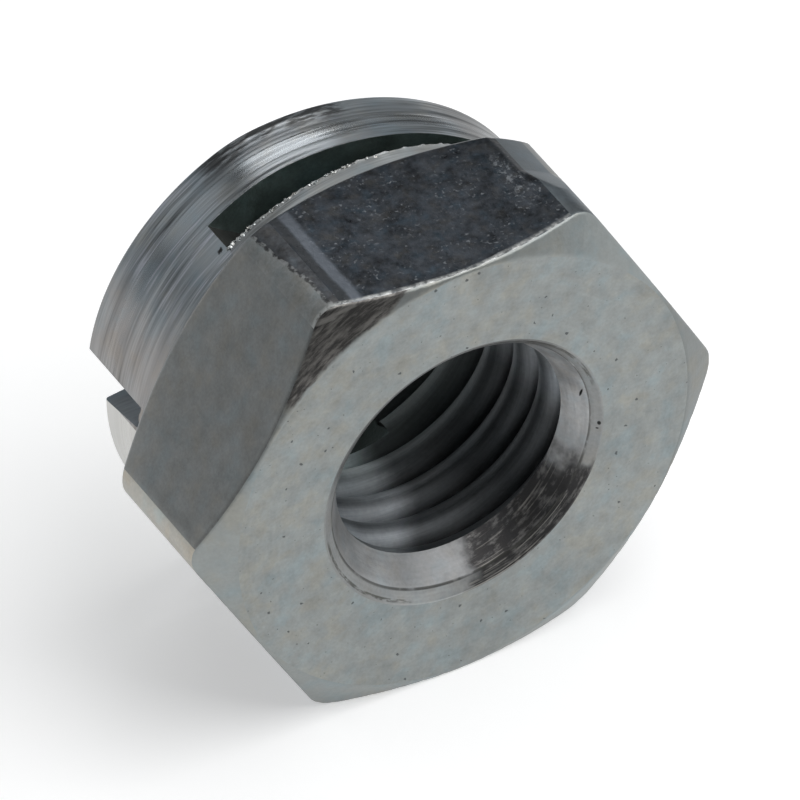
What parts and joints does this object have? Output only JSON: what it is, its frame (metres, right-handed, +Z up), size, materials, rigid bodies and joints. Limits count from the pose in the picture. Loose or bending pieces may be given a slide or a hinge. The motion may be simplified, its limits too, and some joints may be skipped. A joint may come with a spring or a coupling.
{
  "type": "lock nut",
  "caption": "Hexagon lock nut with a chamfered bearing face, a countersunk thread and a slotted collar whose bent arms grip the bolt",
  "frame": {"origin": "centre of the bearing face, on the thread's axis", "axes": "+Y along the thread, from the bearing face to the slotted collar; +Z up, square to the upper flat, so the nut lies on its lower flat; +X across the hexagon from corner to corner"},
  "size_m": [0.0192, 0.0102, 0.017],
  "materials": {
    "plated_steel": "satin zinc plating over turned steel"
  },
  "bodies": {
    "root": {"lock_nut": "plated_steel"}
  },
  "joints": []
}
